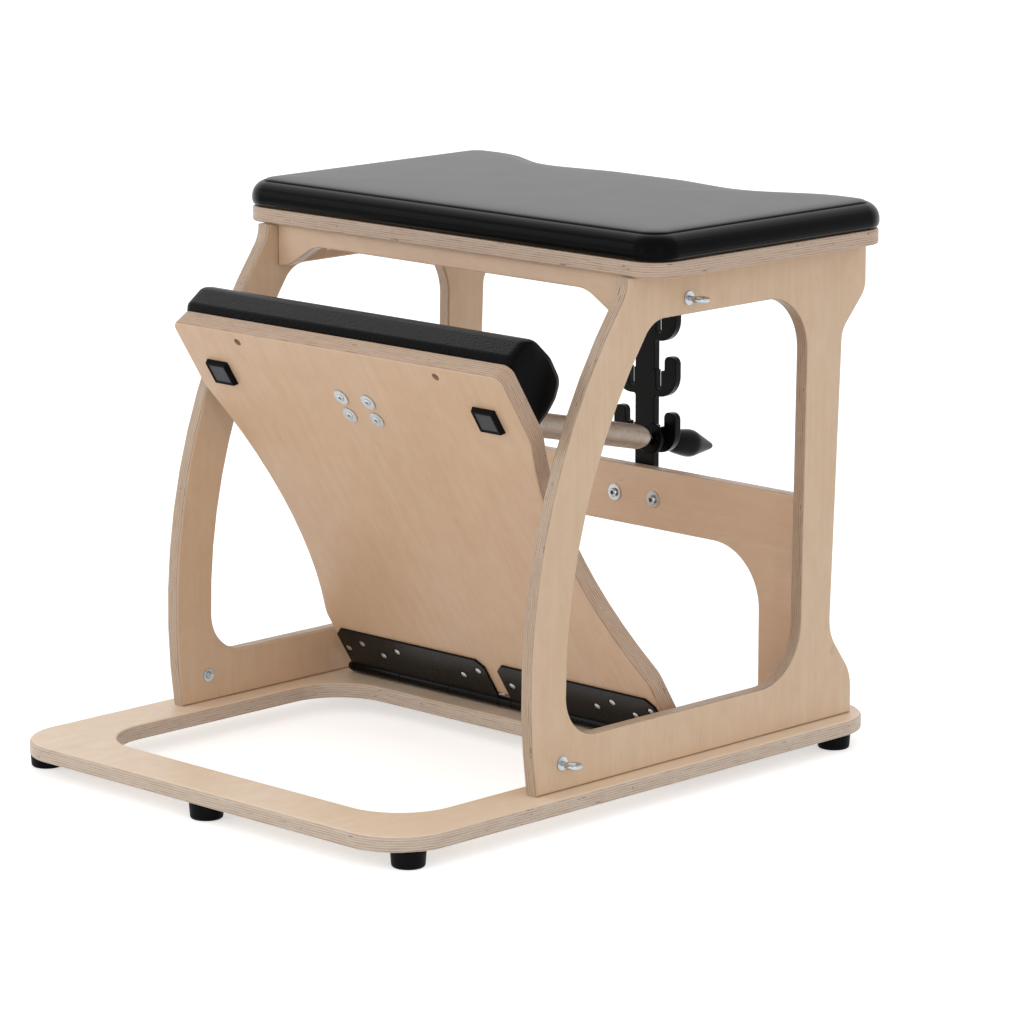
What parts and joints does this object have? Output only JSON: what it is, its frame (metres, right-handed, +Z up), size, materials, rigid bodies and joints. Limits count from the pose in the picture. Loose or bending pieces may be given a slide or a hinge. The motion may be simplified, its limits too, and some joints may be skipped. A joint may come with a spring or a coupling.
{
  "type": "pilates chair",
  "caption": "Pilates chair: a padded seat on a plywood frame, with a hinged foot pedal that a hooked-on spring holds up.",
  "frame": {"origin": "centre of the bounding box's footprint, on the floor under the feet", "axes": "+Z up, the pedal and the user's feet towards -Y, +X to the right as seen by someone who looks along +Y"},
  "size_m": [0.6956, 0.8582, 0.672],
  "materials": {
    "birch_plywood": "clear satin lacquer",
    "black_vinyl": "grained satin",
    "black_rubber": "matt",
    "black_powder_coat": "satin powder coat",
    "black_plastic": "moulded satin",
    "zinc_plated_steel": "zinc plated",
    "spring_steel": "drawn wire"
  },
  "bodies": {
    "frame": {"base_board": "birch_plywood", "side_panel_left": "birch_plywood", "side_panel_right": "birch_plywood", "front_apron": "birch_plywood", "rear_crossbar": "birch_plywood", "seat_board": "birch_plywood", "seat_pad": "black_vinyl", "foot_front_left": "black_rubber", "foot_front_middle": "black_rubber", "foot_front_right": "black_rubber", "foot_rear_left": "black_rubber", "foot_rear_right": "black_rubber", "hook_plate": "black_powder_coat", "hook_plate_bolt_left": "zinc_plated_steel", "hook_plate_bolt_right": "zinc_plated_steel", "hook_plate_washer_left": "zinc_plated_steel", "hook_plate_washer_right": "zinc_plated_steel", "hook_plate_nut_left": "zinc_plated_steel", "hook_plate_nut_right": "zinc_plated_steel", "eyebolt_lower_left": "zinc_plated_steel", "eyebolt_lower_right": "zinc_plated_steel", "eyebolt_upper_left": "zinc_plated_steel", "eyebolt_upper_right": "zinc_plated_steel", "eyebolt_washer_lower_left": "zinc_plated_steel", "eyebolt_washer_lower_right": "zinc_plated_steel", "eyebolt_washer_upper_left": "zinc_plated_steel", "eyebolt_washer_upper_right": "zinc_plated_steel", "eyebolt_nut_lower_left": "zinc_plated_steel", "eyebolt_nut_lower_right": "zinc_plated_steel", "eyebolt_nut_upper_left": "zinc_plated_steel", "eyebolt_nut_upper_right": "zinc_plated_steel", "hinge_base_leaf": "black_powder_coat", "hinge_pin": "black_powder_coat"},
    "pedal": {"pedal_board": "birch_plywood", "pedal_pad": "black_vinyl", "pedal_pad_screw_left": "zinc_plated_steel", "pedal_pad_screw_right": "zinc_plated_steel", "bumper_left": "black_rubber", "bumper_right": "black_rubber", "hinge_leaf_left": "black_powder_coat", "hinge_leaf_right": "black_powder_coat", "spring_bracket_left": "black_powder_coat", "spring_bracket_right": "black_powder_coat", "bracket_pin_left": "zinc_plated_steel", "bracket_pin_right": "zinc_plated_steel", "bracket_bolt_left_lower": "zinc_plated_steel", "bracket_bolt_left_upper": "zinc_plated_steel", "bracket_bolt_right_lower": "zinc_plated_steel", "bracket_bolt_right_upper": "zinc_plated_steel", "bracket_nut_left_lower": "zinc_plated_steel", "bracket_nut_left_upper": "zinc_plated_steel", "bracket_nut_right_lower": "zinc_plated_steel", "bracket_nut_right_upper": "zinc_plated_steel"},
    "spring": {"spring_coil": "spring_steel", "spring_rear_disc": "black_plastic", "spring_neck": "zinc_plated_steel", "spring_handle": "black_plastic"},
    "spring_end": {"spring_front_collar": "black_plastic"},
    "spring_eye": {"spring_eye": "zinc_plated_steel"}
  },
  "joints": [
    {"name": "pedal_hinge", "type": "hinge", "parent": "frame", "child": "pedal", "pos_m": [0, 0.08682, 0.0465], "axis": [1, 0, 0], "range_deg": [0, 57.2], "stiffness_Nm_per_rad": 40, "springref_deg": -28.65},
    {"name": "spring_swing", "type": "hinge", "parent": "frame", "child": "spring", "pos_m": [0.0225, 0.33392, 0.3417], "axis": [1, 0, 0], "range_deg": [0, 32.4]},
    {"name": "spring_stretch", "type": "slide", "parent": "spring", "child": "spring_end", "axis": [0, -0.9761, 0.2174], "range_m": [0, 0.275], "deforming": ["spring_coil"]},
    {"name": "eye_turn", "type": "hinge", "parent": "pedal", "child": "spring_eye", "pos_m": [0.0225, -0.10553, 0.4396], "axis": [1, 0, 0], "range_deg": [-25.1, 0]}
  ],
  "couplings": [
    {"joint": "spring_swing", "follows": "pedal_hinge", "ratio": 0.56377},
    {"joint": "spring_stretch", "follows": "pedal_hinge", "m_per_rad": 0.27429},
    {"joint": "eye_turn", "follows": "pedal_hinge", "ratio": -0.43623}
  ]
}
